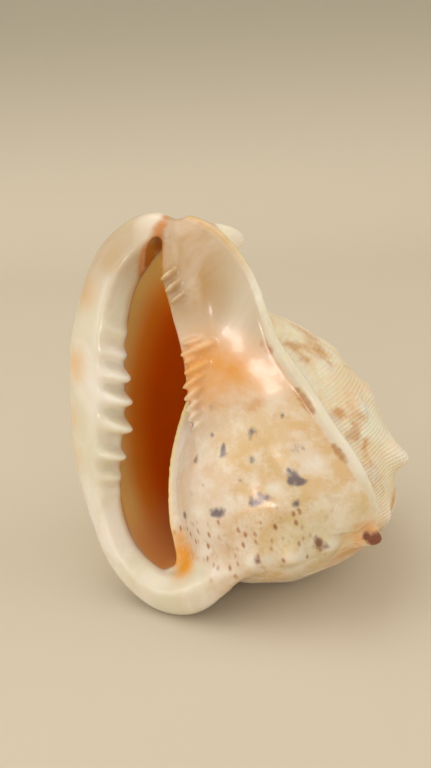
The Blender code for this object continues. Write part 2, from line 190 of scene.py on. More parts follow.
def pullEdges(mesh, edges):
    # gives the new corners and the new edges; faces join them to the old ones
    grown = bmesh.ops.extrude_edge_only(mesh, edges=edges)["geom"]
    fresh = {item for item in grown if isinstance(item, bmesh.types.BMVert)}
    return fresh, [item for item in grown
                   if isinstance(item, bmesh.types.BMEdge) and all(v in fresh for v in item.verts)]


def growBody(name, rings):
    # the first ring is filled, then its edge is pulled from ring to ring and closed at the end
    mesh = bmesh.new()
    corners = [mesh.verts.new(Vector(point[:3]) * mm) for point in rings[0]]
    edges = list(mesh.faces.new(corners).edges)
    for ring in rings[1:]:
        fresh, edges = pullEdges(mesh, edges)
        moved = []
        for corner, point in zip(corners, ring):
            ends = [edge.other_vert(corner) for edge in corner.link_edges]
            pulled = next(end for end in ends if end in fresh)
            pulled.co = Vector(point[:3]) * mm
            moved.append(pulled)
        corners = moved
    bmesh.ops.contextual_create(mesh, geom=edges)
    bmesh.ops.poke(mesh, faces=[face for face in mesh.faces if len(face.verts) > 4])
    bmesh.ops.recalc_face_normals(mesh, faces=mesh.faces)
    return addObject(name, mesh)


def applyModifiers(body):
    graph = bpy.context.evaluated_depsgraph_get()
    body.data = bpy.data.meshes.new_from_object(body.evaluated_get(graph))
    body.modifiers.clear()


def fuseBodies(name, bodies, voxel):
    mesh = bmesh.new()
    for body in bodies:
        mesh.from_mesh(body.data)
        bpy.data.objects.remove(body)
    fused = addObject(name, mesh)
    remesh = fused.modifiers.new("fuse", "REMESH")
    remesh.mode = "VOXEL"
    remesh.voxel_size = voxel * mm
    applyModifiers(fused)
    return fused


def cutBody(body, cutter):
    tool = body.modifiers.new("cut", "BOOLEAN")
    tool.operation = "DIFFERENCE"
    tool.solver = "EXACT"
    tool.object = cutter
    applyModifiers(body)


def surfaceTree(body):
    # kept so that the finished skin can be told which form each place came from
    mesh = bmesh.new()
    mesh.from_mesh(body.data)
    tree = BVHTree.FromBMesh(mesh)
    mesh.free()
    return tree


def whorlScale(back):
    return whorlForm["lipRadius"] * whorlForm["growth"] ** (-back / 360.0)


def whorlLift(scale):
    return whorlForm["apexLift"] * (1.0 - scale / whorlForm["lipRadius"])


def knobRise(back, height):
    azimuth = (whorlForm["lipAzimuth"] - back) % 360.0
    start, length = knobForm["front"]
    front = smoothStep((back - start) / length)
    rise = 0.0
    for row, apart, largest, backRise, frontRise, width in knobForm["rows"]:
        if abs(height - row) > width:
            continue
        place = ((azimuth - largest + 180.0) % 360.0 - 180.0) / apart
        number = round(place)
        across = radians(abs(place - number) * apart) / width
        away = (across ** 2 + ((height - row) / width) ** 2) ** 0.5
        if away < 1.0:
            size = knobForm["mean"] + knobForm["differ"] * cos(knobForm["stride"] * number)
            full = backRise + (frontRise - backRise) * front
            rise += full * size * (1.0 - away) ** knobForm["taper"]
    left = 1.0
    for start, length, loss in knobForm["worn"]:
        left -= loss * smoothStep((back - start) / length)
    start, length = knobForm["begin"]
    return rise * left * smoothStep((back - start) / length)


wallProfile = evenCurve(whorlForm["profile"], whorlForm["points"])
innerProfile = evenCurve(hollowForm["profile"], whorlForm["points"])
wallLip = evenCurve(lipForm["line"][lipForm["wallJoin"]:], whorlForm["points"])


def whorlWall(back, knobs=True):
    scale = whorlScale(back)
    azimuth = radians(whorlForm["lipAzimuth"] - back)
    around = Vector((cos(azimuth), sin(azimuth), 0.0))
    bend = smoothStep(1.0 - back / whorlForm["flare"])
    lean = around - Vector((0, 0, knobForm["droop"]))
    line = []
    for (radius, height), edge in zip(wallProfile, wallLip):
        point = around * radius * scale + Vector((0, 0, height * scale + whorlLift(scale)))
        point = point.lerp(Vector(edge[:3]), bend)
        if knobs:
            point += lean * knobRise(back, height) * scale
        line.append(point)
    return line


def makeWhorls():
    rings = []
    for back in np.arange(whorlForm["turns"] * 360.0, -0.01, -whorlForm["step"]):
        scale = whorlScale(back)
        axis = [Vector((0, 0, height * scale + whorlLift(scale)))
                for height in whorlForm["axisSpan"][::-1]]
        rings.append(whorlWall(back) + axis)
    return growBody("whorls", rings)


def makeHollow():
    rings = []
    for back in np.arange(hollowForm["turn"], -0.01, -whorlForm["step"]):
        scale = whorlScale(back)
        azimuth = radians(whorlForm["lipAzimuth"] - back)
        inner = [
            Vector((r * scale * cos(azimuth), r * scale * sin(azimuth), h * scale + whorlLift(scale)))
            for r, h in innerProfile]
        depth = hollowForm["wall"] + hollowForm["lipWall"] * smoothStep(1.0 - back / whorlForm["flare"])
        outer = []
        for point, inside in zip(whorlWall(back, knobs=False), inner):
            gap = inside - point
            outer.append(point + gap.normalized() * min(depth, gap.length * hollowForm["deepest"]))
        opened = smoothStep((hollowForm["turn"] - back) / hollowForm["close"])
        width = hollowForm["tail"] + (1.0 - hollowForm["tail"]) * opened
        middle = [(a + b) / 2.0 for a, b in zip(outer, inner)]
        outer = [m.lerp(a, width) for m, a in zip(middle, outer)]
        inner = [m.lerp(a, width) for m, a in zip(middle, inner)]
        trim = hollowForm["canalTrim"]
        rings.append(outer[hollowForm["sutureTrim"]:-trim] + inner[:-trim][::-1])
    for forward in hollowForm["mouthSteps"]:
        rings.append([point - Vector((0, forward, 0)) for point in rings[-1]])
    return growBody("hollow", rings)


def wayAlong(route, number):
    ahead = Vector(route[min(number + 1, len(route) - 1)][:3])
    behind = Vector(route[max(number - 1, 0)][:3])
    return (ahead - behind).normalized()


def makeBar(name, line, count=60, sides=24, deepen=1.0):
    route = evenCurve(line, count)
    rings = []
    for number, point in enumerate(route):
        along = wayAlong(route, number)
        side = along.cross(Vector((0, 1, 0))).normalized()
        front = side.cross(along).normalized()
        turns = [2 * pi * k / sides for k in range(sides)]
        rings.append([Vector(point[:3]) + point[3] * (side * cos(t) + front * sin(t) * deepen)
                      for t in turns])
    return growBody(name, rings)


def makeLip():
    route = evenCurve(lipForm["line"], lipForm["steps"])
    outline = evenCurve(lipForm["section"] + lipForm["section"][:1], lipForm["sectionSteps"] + 1)[:-1]
    slopeStart, slopeLength = lipForm["toothSlope"]
    footStart, footLength = lipForm["toothFoot"]
    thinShare, thinWidth, thinLength = lipForm["thinEnd"]
    rings = []
    for number, point in enumerate(route):
        along = wayAlong(route, number)
        inward = along.cross(Vector((0, -1, 0))).normalized()
        across = (inward + Vector((0, -lipForm["tilt"], 0))).normalized()
        front = across.cross(along).normalized()
        wide = smoothStep((point[3] - thinWidth) / thinLength)
        thick = lipForm["thick"] * (thinShare + (1.0 - thinShare) * wide)
        ring = []
        for side, up in outline:
            # each tooth is a ridge that starts low at the crease and ends in a blunt tip in the mouth
            toothed = number > lipForm["toothStep"]
            slope = smoothStep((side - slopeStart) / slopeLength) if toothed else 0.0
            foot = smoothStep((up + footStart) / footLength)
            height = point[2] - (1.0 - side) * lipForm["toothSlant"]
            ridge = sum(
                size * bellBase ** -abs((height - z) / lipForm["toothWidth"]) ** lipForm["toothTaper"]
                for z, size in lipForm["teeth"])
            push = slope * (lipForm["toothRise"] * ridge * foot - lipForm["valley"])
            ring.append(Vector(point[:3]) + across * point[3] * (side + push)
                        + front * thick * (up + push * 0.5))
        rings.append(ring)
    return growBody("lip", rings)


def makeLump(name, centre, radii, turns):
    mesh = bmesh.new()
    bmesh.ops.create_uvsphere(mesh, u_segments=24, v_segments=16, radius=1.0)
    bmesh.ops.scale(mesh, vec=Vector(radii) * mm, verts=mesh.verts)
    for angle, axis in zip(turns, "XYZ"):
        turn = Matrix.Rotation(radians(angle), 3, axis)
        bmesh.ops.rotate(mesh, cent=(0, 0, 0), matrix=turn, verts=mesh.verts)
    bmesh.ops.translate(mesh, vec=Vector(centre) * mm, verts=mesh.verts)
    return addObject(name, mesh)


def shieldRise(x, z):
    # the soft pad of callus on the upper shield
    padX, padZ, half, tall, turn, rise = shieldForm["pad"]
    taper = shieldForm["padTaper"]
    right, up = x - padX, z - padZ
    c, s = cos(radians(turn)), sin(radians(turn))
    away = ((right * c + up * s) / half) ** 2 + ((up * c - right * s) / tall) ** 2
    return rise * bellBase ** (-taper * away ** taper)


def makeShield():
    left = evenCurve([span[0] for span in shieldForm["spans"]], shieldForm["steps"])
    right = evenCurve([span[1] for span in shieldForm["spans"]], shieldForm["steps"])
    rings = []
    for inner, rim in zip(left, right):
        inner, rim = Vector(inner), Vector(rim)
        across = rim - inner
        out = Vector((across.y, -across.x, 0)).normalized()
        thick = min(shieldForm["thick"], across.length * 0.45)
        front, back = [], []
        for share in np.linspace(0.0, 1.0, shieldForm["stepsAcross"]):
            bulge = shieldForm["bulge"] * sin(pi * share) * min(across.length / 40.0, 1.0)
            middle = inner + across * share
            front.append(middle + out * (bulge + shieldRise(middle.x, middle.z)))
            back.append(middle + out * (bulge - thick * (1.0 + 0.6 * (1.0 - share))))
        rings.append(front + back[::-1])
    plate = growBody("shieldPlate", rings)
    thin, thick = shieldForm["rimRadius"]
    growFrom, growLength = shieldForm["rimGrows"]
    endFrom, endLength = shieldForm["rimEnds"]
    line = []
    for inner, edge in shieldForm["spans"]:
        radius = thin + (thick - thin) * smoothStep((growFrom - edge[2]) / growLength)
        shrunk = (shieldForm["rimEnd"] - radius) * smoothStep((endFrom - edge[2]) / endLength)
        line.append(edge + (radius + shrunk,))
    return plate, makeBar("shieldRim", line, count=90, sides=16)


def makePillar():
    turns = [2 * pi * k / 32 for k in range(32)]
    rings = [
        [(x + half * cos(turn), y + deep * sin(turn), z) for turn in turns]
        for x, y, z, half, deep in evenCurve(canalForm["pillar"], 36)]
    return growBody("pillar", rings)


def makeCallus():
    bodies = []
    for x, z, length, height, climb in callusForm["folds"]:
        radii = (length, callusForm["foldDepth"], height)
        bodies.append(makeLump("fold", (x, callusForm["foldPlace"], z), radii, (0, -climb, 0)))
    for centre, radii, turn in callusForm["lumps"]:
        bodies.append(makeLump("callus", centre, radii, (0, turn, 0)))
    return bodies


def softenPatches(body, patches):
    # takes the hard line out of the joins, most in the middle of each patch
    mesh = bmesh.new()
    mesh.from_mesh(body.data)
    mesh.verts.ensure_lookup_table()
    places = np.array([vert.co[:] for vert in mesh.verts]) / mm
    for centre, reach, rounds in patches:
        away = np.linalg.norm(places - np.array(centre), axis=1) / reach
        for step in range(rounds):
            near = [mesh.verts[i] for i in np.nonzero(away < 1.0 - 0.5 * step / rounds)[0]]
            bmesh.ops.smooth_vert(
                mesh, verts=near, factor=0.5, use_axis_x=True, use_axis_y=True, use_axis_z=True)
    mesh.to_mesh(body.data)
    mesh.free()


def keepLargest(body):
    # crumbs and closed bubbles that a remesh leaves are taken out
    mesh = bmesh.new()
    mesh.from_mesh(body.data)
    waiting = set(mesh.verts)
    groups = []
    while waiting:
        border = [waiting.pop()]
        group = set(border)
        while border:
            for edge in border.pop().link_edges:
                for vert in edge.verts:
                    if vert in waiting:
                        waiting.remove(vert)
                        group.add(vert)
                        border.append(vert)
        groups.append(group)
    groups.sort(key=len)
    bmesh.ops.delete(mesh, geom=[vert for group in groups[:-1] for vert in group], context="VERTS")
    mesh.to_mesh(body.data)
    mesh.free()


def buildShell():
    trees = {}
    whorls, rostrum = makeWhorls(), makeBar("rostrum", canalForm["rostrum"])
    core = fuseBodies("core", [whorls, rostrum], meshForm["coreVoxel"])
    hollow = makeHollow()
    trees["hollow"] = surfaceTree(hollow)
    cutBody(core, hollow)
    bpy.data.objects.remove(hollow)
    print("whorls and their hollow")
    lip = makeLip()
    plate, rim = makeShield()
    trees["lip"] = surfaceTree(lip)
    trees["shield"] = surfaceTree(plate)
    trees["rim"] = surfaceTree(rim)
    base = fuseBodies("base", [core, lip, plate, rim, makePillar()], meshForm["baseVoxel"])
    groove = makeBar("groove", canalForm["groove"], deepen=canalForm["depth"])
    trees["groove"] = surfaceTree(groove)
    cutBody(base, groove)
    bpy.data.objects.remove(groove)
    print("lip, shield and canal")
    shell = fuseBodies("helmetShell", [base] + makeCallus(), meshForm["fineVoxel"])
    smooth = shell.modifiers.new("smooth", "SMOOTH")
    smooth.factor = 0.5
    smooth.iterations = 4
    applyModifiers(shell)
    keepLargest(shell)
    softenPatches(shell, meshForm["softer"])
    thin = shell.modifiers.new("thin", "DECIMATE")
    thin.ratio = meshForm["triangles"] / sum(len(face.vertices) - 2 for face in shell.data.polygons)
    applyModifiers(shell)
    shell.data.shade_smooth()
    print("skin of", len(shell.data.vertices), "corners")
    return shell, trees


shell, trees = buildShell()


def whorlPlaces(points):
    # degrees behind the lip and height in lip radii, on the whorl whose wall is nearest
    x, y, z = points.T
    radius = np.hypot(x, y)
    first = (whorlForm["lipAzimuth"] - np.degrees(np.arctan2(y, x))) % 360.0
    back, height, nearest = first.copy(), np.zeros(len(x)), np.full(len(x), 1e9)
    for turn in range(5):
        tryBack = first + 360.0 * turn
        scale = whorlScale(tryBack)
        tryHeight = (z - whorlLift(scale)) / scale
        away = np.full(len(x), 1e9)
        for wallRadius, wallHeight in wallProfile:
            gap = np.hypot(radius / scale - wallRadius, tryHeight - wallHeight) * scale
            away = np.minimum(away, gap)
        closer = away < nearest - 0.5
        back[closer], height[closer] = tryBack[closer], tryHeight[closer]
        nearest[closer] = away[closer]
    return back, height


def nearShare(mesh, tree, full, gone):
    # 1 on the form itself, fading to 0 at the distance where it is gone
    away = np.array([tree.find_nearest(vert.co)[3] for vert in mesh.vertices]) / mm
    share = np.clip((gone - away) / (gone - full), 0.0, 1.0)
    return share * share * (3.0 - 2.0 * share)


def softened(mesh, points, rounds, pull=0.6):
    # every corner drifts to the mean of its neighbours
    pairs = np.array([edge.vertices[:] for edge in mesh.edges])
    count = np.bincount(pairs.ravel(), minlength=len(points))[:, None]
    for _ in range(rounds):
        total = np.zeros_like(points)
        for axis in range(points.shape[1]):
            for here, there in (pairs.T, pairs.T[::-1]):
                total[:, axis] += np.bincount(here, points[there, axis], len(points))
        points = points * (1.0 - pull) + pull * total / count
    return points


def spotShare(away):
    # full in the middle, gone at twice the half width
    return np.clip(1.0 - away / 2.0, 0.0, 1.0)


def spiralMarks(back, height, marks):
    # azimuth, height, half length along the whorl and across it in mm, strength
    azimuth = whorlForm["lipAzimuth"] - back
    scale = whorlScale(back)
    wallRadii, wallHeights = zip(*wallProfile)
    field = np.zeros(len(back))
    for around, level, along, across, strength in marks:
        turned = np.radians((azimuth - around + 180.0) % 360.0 - 180.0)
        reach = np.interp(level, wallHeights, wallRadii)
        away = np.hypot(turned * reach * scale / along, (height - level) * scale / across)
        field = np.maximum(field, strength * spotShare(away) * (back < 360.0))
    return field


def placedMarks(points, marks):
    # centre in mm, half width, strength
    field = np.zeros(len(points))
    for x, y, z, width, strength in marks:
        away = np.linalg.norm(points - np.array((x, y, z)), axis=1) / width
        field = np.maximum(field, strength * spotShare(away))
    return field


# mm: the mouth's rim is in front of the axis, and how far in counts as deep
rimPlace = {"plane": 47.0, "deep": 60.0}
# horn, tip and the lists from lipMarks on are placed in mm, the others on a whorl
markForm = {
    "violet": [
        (233, 1.05, 3.2, 2.4, 0.8), (262.5, 1.05, 4.6, 2.6, 1.0), (286, 1.10, 3.6, 3.0, 1.0),
        (283, 1.07, 2.6, 1.8, 0.9), (291, 1.08, 2.8, 1.6, 0.9), (304, 1.18, 2.8, 3.6, 1.0),
        (307, 1.14, 3.0, 2.0, 1.0), (303, 1.24, 1.8, 2.4, 0.9), (303, 0.98, 2.4, 2.0, 0.8),
        (248, 1.53, 2.2, 2.4, 0.8), (270, 1.56, 2.0, 3.0, 0.9), (270, 1.51, 2.8, 1.6, 0.8),
        (289, 1.62, 2.8, 3.0, 0.85), (252, 1.84, 1.8, 2.8, 0.7), (266, 1.94, 2.2, 3.0, 0.7),
        (305, 1.68, 3.0, 1.8, 0.7), (286, 1.42, 2.0, 2.2, 0.7), (309, 1.40, 3.4, 3.6, 0.6),
        (243, 1.25, 3.2, 2.2, 0.6), (255, 1.3, 1.6, 1.6, 0.6), (262, 1.7, 1.4, 1.6, 0.6),
        (278, 1.28, 1.6, 1.8, 0.6)],
    "pale": [
        (249, 1.08, 7.0, 3.4, 1.0), (274, 1.12, 6.0, 4.0, 1.0), (295, 1.14, 5.0, 4.4, 1.0),
        (314, 1.24, 6.0, 5.0, 1.0), (327, 0.98, 5.0, 4.0, 0.8), (300, 0.52, 6.0, 4.0, 0.9),
        (318, 0.56, 6.0, 4.0, 0.9), (333, 0.72, 5.0, 5.0, 0.8), (262, 1.4, 7.0, 9.0, 0.5),
        (282, 0.57, 9.0, 4.5, 0.9), (263, 0.5, 9.0, 4.0, 0.8), (298, 0.42, 7.0, 4.0, 0.9)],
    "brown": [
        (279, 0.58, 2.0, 2.8, 0.8), (290, 0.48, 2.0, 2.4, 0.6), (310, 0.61, 2.8, 4.6, 0.8),
        (313, 0.56, 3.0, 2.4, 0.8),
        (285, 0.90, 1.4, 1.8, 0.7), (291, 0.84, 1.4, 1.8, 0.7), (303, 0.93, 1.8, 1.4, 0.7)],
    "horn": [(65, -29, 30, 5.5, 1.3), (61, -29, 33, 4.0, 1.2), (58, -30, 35.5, 2.6, 1.0)],
    "halo": [(335, 0.58, 9.0, 7.0, 0.9), (330, 0.66, 5.0, 3.0, 0.7)],
    # tip: the canal tip, painted pale as painted light because it lies in shade
    "tip": [(4, 12, 198, 15, 1.0), (2, 24, 196, 9, 1.0)],
    "blotch": [
        (350, 2.05, 5.0, 4.0, 0.9), (337, 1.5, 6.0, 4.0, 1.0), (341, 1.31, 7.0, 4.0, 1.0),
        (348, 1.21, 6.0, 3.0, 0.9), (294, 1.83, 6.0, 4.5, 0.8), (345, 1.95, 4.0, 6.0, 0.8)],
    "lipMarks": [
        (-39, -49, 198, 7, 1.0), (-57, -50, 184, 8, 1.0), (-73, -52, 148, 9, 0.9),
        (-83, -50, 120, 8, 0.6), (-86, -50, 100, 8, 0.6), (-36, -50, 22, 12, 0.4)],
    "rimMarks": [
        (30.5, -43, 140, 2.2, 0.9), (32.5, -43, 136, 2.4, 0.9),
        (42.3, -43, 114, 2.0, 1.0), (44.0, -43, 110.5, 2.5, 1.1), (45.8, -43, 107, 2.6, 1.1),
        (47.4, -43, 103.5, 2.1, 1.0), (54.6, -42, 84.5, 1.5, 1.0), (56.0, -42, 81.8, 1.9, 1.1),
        (57.4, -42, 79, 1.9, 1.1), (58.8, -42, 76.4, 1.5, 1.0)],
    "slotEnd": [
        (-15.5, -43, 203, 3.0, 1.0), (-13.2, -44.6, 203.4, 2.6, 1.0), (-12.5, -44, 205.5, 2.8, 1.0),
        (-10.6, -42.3, 208, 2.5, 1.0), (-9.2, -39.4, 211, 2.2, 0.8)],
    "mouthHalo": [
        (-37, -47, 33, 8, 1.2), (-40, -44, 39, 7, 1.3), (-41, -44, 47, 6, 1.1), (-41.5, -44, 57, 5, 0.8),
        (-32, -48, 37, 6, 0.8)],
    "peach": [
        (1, -47, 129, 16, 1.2), (-7, -47, 122, 13, 1.2), (12, -47, 127, 15, 1.0),
        (-10, -46, 110, 10, 0.9), (24, -46, 120, 14, 0.7), (-4, -47, 140, 10, 0.7),
        (38, -44, 112, 10, 0.5)],
}


def markShell(shell, trees):
    # one number per corner for each thing that the paint has to know about its place
    mesh = shell.data
    points = np.array([vert.co[:] for vert in mesh.vertices]) / mm
    normals = np.array([vert.normal[:] for vert in mesh.vertices])
    back, height = whorlPlaces(points)
    x, y, z = points.T
    behind = y + rimPlace["plane"]                    # mm behind the plane of the mouth's rim
    fields = {
        "back": back, "height": height, "depth": behind / rimPlace["deep"], "level": z / 100.0,
        "up": height * whorlScale(back), "along": np.radians(back) * 0.9 * whorlScale(300.0),
        "lipShare": nearShare(mesh, trees["lip"], 1.2, 5.0),
        "shieldShare": nearShare(mesh, trees["shield"], 2.0, 9.0),
        "rimShare": nearShare(mesh, trees["rim"], 0.5, 1.8),
        "hollowShare": nearShare(mesh, trees["hollow"], 1.0, 3.5),
        "grooveShare": nearShare(mesh, trees["groove"], 0.8, 3.0),
        "knobs": np.array([min(knobRise(b, h) * 8.0, 1.0) if b < 400 else 0.0
                           for b, h in zip(back, height)]),
        # crest: above 0 where the skin bulges, below 0 in hollows; the paint whitens crests, partly as
        # wear and partly as a painted highlight, and greys the hollows between the lip's teeth as
        # painted shade
        "crest": np.sum((points - softened(mesh, points, 12)) * normals, axis=1) * 4.0,
        # inner: the lip's side that faces into the mouth, where the paint lays a painted glow
        "inner": (np.clip((normals[:, 0] - 0.1) / 0.5, 0.0, 1.0)
                  * np.clip((behind + 0.5) / 5.0, 0.0, 1.0)),
        "lipEnd": np.clip((-12.0 - x) / 14.0, 0.0, 1.0),
        "greyed": np.clip((x - 8.0) / 18.0, 0.0, 1.0) * np.clip((z - 125.0) / 30.0, 0.0, 1.0),
    }
    for name in ("violet", "brown", "halo", "pale", "blotch"):
        fields[name] = spiralMarks(back, height, markForm[name])
    for name in ("lipMarks", "rimMarks", "mouthHalo", "peach", "slotEnd", "horn", "tip"):
        fields[name] = placedMarks(points, markForm[name])
    fields["mouthHalo"] = fields["mouthHalo"] ** 1.5
    for name, values in fields.items():
        layer = mesh.attributes.new(name, "FLOAT", "POINT")
        layer.data.foreach_set("value", values.astype(np.float32))
    print("pigment fields on the skin")


def standShell(shell):
    # turned and shifted as the solid was, so that both are in one place
    lean = Matrix.Rotation(radians(-standForm["lean"]), 4, "X")
    roll = Matrix.Rotation(radians(-standForm["roll"]), 4, "Y")
    shell.data.transform(Matrix.Translation(-Vector(standForm["middle"]) * mm) @ lean @ roll)
    shell.data.update()


markShell(shell, trees)
standShell(shell)
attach(shell, "root")
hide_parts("shell")


def tint(code):
    values = [int(code[i:i + 2], 16) / 255.0 for i in (0, 2, 4)]
    return tuple(v / 12.92 if v <= 0.04045 else ((v + 0.055) / 1.055) ** 2.4 for v in values) + (1.0,)


def startMaterial(name):
    material = bpy.data.materials.new(name)
    material.use_nodes = True
    nodes = material.node_tree.nodes
    nodes.clear()
    shader = nodes.new("ShaderNodeBsdfPrincipled")
    output = nodes.new("ShaderNodeOutputMaterial")
    material.node_tree.links.new(shader.outputs["BSDF"], output.inputs["Surface"])
    return material, material.node_tree, shader


def plug(tree, value, socket):
    if isinstance(value, bpy.types.NodeSocket):
        tree.links.new(value, socket)
    else:
        socket.default_value = value


def calc(tree, operation, first, second=0.0):
    node = tree.nodes.new("ShaderNodeMath")
    node.operation = operation
    plug(tree, first, node.inputs[0])
    plug(tree, second, node.inputs[1])
    return node.outputs[0]


def field(tree, name):
    node = tree.nodes.new("ShaderNodeAttribute")
    node.attribute_name = name
    return node.outputs["Fac"]


def grain(tree, place, scale, detail, rough, warp):
    node = tree.nodes.new("ShaderNodeTexNoise")
    plug(tree, place, node.inputs["Vector"])
    node.inputs["Scale"].default_value = scale
    node.inputs["Detail"].default_value = detail
    node.inputs["Roughness"].default_value = rough
    node.inputs["Distortion"].default_value = warp
    return node.outputs["Fac"]


def fade(tree, value, low, high, start=0.0, end=1.0):
    # a soft step from start to end as the value goes from low to high
    node = tree.nodes.new("ShaderNodeMapRange")
    node.interpolation_type = "SMOOTHSTEP"
    plug(tree, value, node.inputs["Value"])
    span = {"From Min": low, "From Max": high, "To Min": start, "To Max": end}
    for socket, number in span.items():
        node.inputs[socket].default_value = number
    return node.outputs["Result"]


def blend(tree, share, first, second):
    node = tree.nodes.new("ShaderNodeMix")
    node.data_type = "RGBA"
    plug(tree, share, node.inputs[0])
    plug(tree, first, node.inputs[6])
    plug(tree, second, node.inputs[7])
    return node.outputs[2]


def chain(tree, operation, values):
    total = values[0]
    for value in values[1:]:
        total = calc(tree, operation, total, value)
    return total


def times(tree, *values):
    return chain(tree, "MULTIPLY", values)


def plus(tree, *values):
    return chain(tree, "ADD", values)


def largest(tree, *values):
    return chain(tree, "MAXIMUM", values)


def without(tree, *shares):
    # what none of the shares takes
    return calc(tree, "SUBTRACT", 1.0, largest(tree, *shares))


def waves(tree, value, spacing):
    return calc(tree, "SINE", times(tree, value, 2 * pi / spacing))


def pair(tree, first, second):
    # a flat place for a pattern that follows the whorl
    node = tree.nodes.new("ShaderNodeCombineXYZ")
    plug(tree, first, node.inputs[0])
    plug(tree, second, node.inputs[1])
    return node.outputs[0]


def cells(tree, place, jitter):
    node = tree.nodes.new("ShaderNodeTexVoronoi")
    plug(tree, place, node.inputs["Vector"])
    node.inputs["Scale"].default_value = 1.0
    node.inputs["Randomness"].default_value = jitter
    return node.outputs["Distance"], node.outputs["Color"]


nacreLook = {
    "ivory": tint("E0D8BE"), "white": tint("F0E9DC"), "cream": tint("F6DAB2"), "pink": tint("E3D0B8"),
    "sand": tint("DFBF8C"), "straw": tint("D9C592"), "tan": tint("BC9660"), "grey": tint("CDBFA0"),
    "peach": tint("EBA64A"), "ochre": tint("CF9240"), "amber": tint("CC8436"), "halo": tint("E8A030"),
    "gold": tint("FFE496"), "orange": tint("FCB440"), "deep": tint("FA8A10"), "dusk": tint("EAB070"),
    "wheat": tint("DDB264"), "moss": tint("C2A868"), "shine": tint("FFF4DA"), "dark": tint("7A3A16"),
    "brown": tint("6E3012"), "rust": tint("A8642E"), "violet": tint("57495A"), "glow": tint("E8B878"),
    "bark": tint("B98038"), "smoke": tint("C0A880"),
    # size, detail, roughness and warp of each noise
    "noises": {
        "cloud": (30.0, 4.0, 0.6, 0.6), "speck": (170.0, 4.0, 0.65, 0.4), "patch": (17.0, 3.0, 0.5, 1.0),
        "mottle": (95.0, 4.0, 0.65, 0.15), "fray": (210.0, 3.0, 0.6, 0.0)},
    "frayed": 0.7, "drifting": 26.0,
    # field, colour, where the soft edge starts and ends, strength
    "marks": [
        ("halo", "halo", 0.1, 0.9, 0.7), ("blotch", "ochre", 0.35, 0.8, 0.8),
        # tip paints the shaded canal tip pale: painted light
        ("tip", "shine", 0.1, 0.6, 1.0), ("brown", "brown", 0.35, 0.75, 0.85),
        ("horn", "dark", 0.3, 0.75, 0.95), ("violet", "violet", 0.3, 0.75, 0.85)],
    "fleckAlong": 0.32, "fleckUp": 0.17, "fleckSway": 0.8, "fleckJitter": 0.7,
    # spacing in mm of the ridges on the back and of the fine net, the slant of the ridges, heights
    "threads": 1.9, "cords": 1.15, "slant": 0.22,
    "threadLift": 0.16, "cordLift": 0.05, "netLift": 0.02, "bump": 0.001,
    "gloss": {
        "Subsurface Weight": 0.35, "Subsurface Radius": (0.010, 0.0045, 0.0015), "Subsurface Scale": 1.0,
        "Coat Weight": 0.15, "Coat Roughness": 0.08},
}
skinFields = (
    "back", "height", "depth", "along", "up", "level", "crest", "knobs", "lipShare", "shieldShare",
    "rimShare", "hollowShare", "grooveShare", "pale", "inner", "lipEnd", "greyed", "peach", "lipMarks",
    "rimMarks", "slotEnd", "mouthHalo", "halo", "blotch", "tip", "brown", "horn", "violet")


def readSkin(tree, look):
    # the pigment fields, the noises, and the shares that are made from them
    place = tree.nodes.new("ShaderNodeTexCoord").outputs["Object"]
    skin = SimpleNamespace(**{name: field(tree, name) for name in skinFields})
    for name, values in look["noises"].items():
        setattr(skin, name, grain(tree, place, *values))
    skin.edge = times(tree, calc(tree, "SUBTRACT", skin.fray, 0.5), look["frayed"])
    skin.drift = times(tree, calc(tree, "SUBTRACT", skin.cloud, 0.5), look["drifting"])
    skin.rough = times(tree, fade(tree, skin.back, 300.0, 250.0), fade(tree, skin.depth, 0.2, 0.32),
                       without(tree, skin.hollowShare))
    skin.glaze = without(tree, skin.rough)
    foot = plus(tree, skin.level, times(tree, skin.drift, 0.003))
    skin.upper = times(tree, skin.shieldShare, fade(tree, foot, 1.02, 1.32))
    return skin


def paintOver(tree, look, coat, layers):
    # each layer is a share and the name of the colour that it lays on top
    for share, colour in layers:
        coat = blend(tree, share, coat, look[colour])
    return coat


def paintBack(tree, look, skin):
    # chalky cream with ochre clouds and small rusty patches
    coat = blend(tree, fade(tree, skin.cloud, 0.3, 0.7), look["cream"], look["shine"])
    stain = plus(tree, skin.patch, times(tree, skin.edge, 0.25))
    rust = times(tree, fade(tree, skin.speck, 0.55, 0.7), fade(tree, skin.patch, 0.56, 0.7, 0.0, 0.6))
    return paintOver(tree, look, coat, [
        (fade(tree, stain, 0.5, 0.64, 0.0, 0.75), "ochre"), (rust, "rust")])


def paintFront(tree, look, skin):
    # glazed: pinkish by the mouth, sandy to the right, straw by the knobs
    turned = plus(tree, skin.back, skin.drift)
    coat = blend(tree, fade(tree, turned, 322.0, 290.0), look["pink"], look["sand"])
    straw = times(tree, fade(tree, skin.height, 1.15, 0.75), fade(tree, skin.back, 300.0, 262.0))
    moss = times(tree, fade(tree, skin.speck, 0.5, 0.72), fade(tree, skin.height, 1.3, 0.9, 0.0, 0.4))
    return paintOver(tree, look, coat, [
        (straw, "straw"), (fade(tree, skin.cloud, 0.45, 0.75, 0.0, 0.5), "white"),
        (fade(tree, skin.patch, 0.5, 0.68, 0.0, 0.35), "ochre"),
        (fade(tree, skin.mottle, 0.42, 0.66, 0.0, 0.5), "white"), (moss, "moss")])


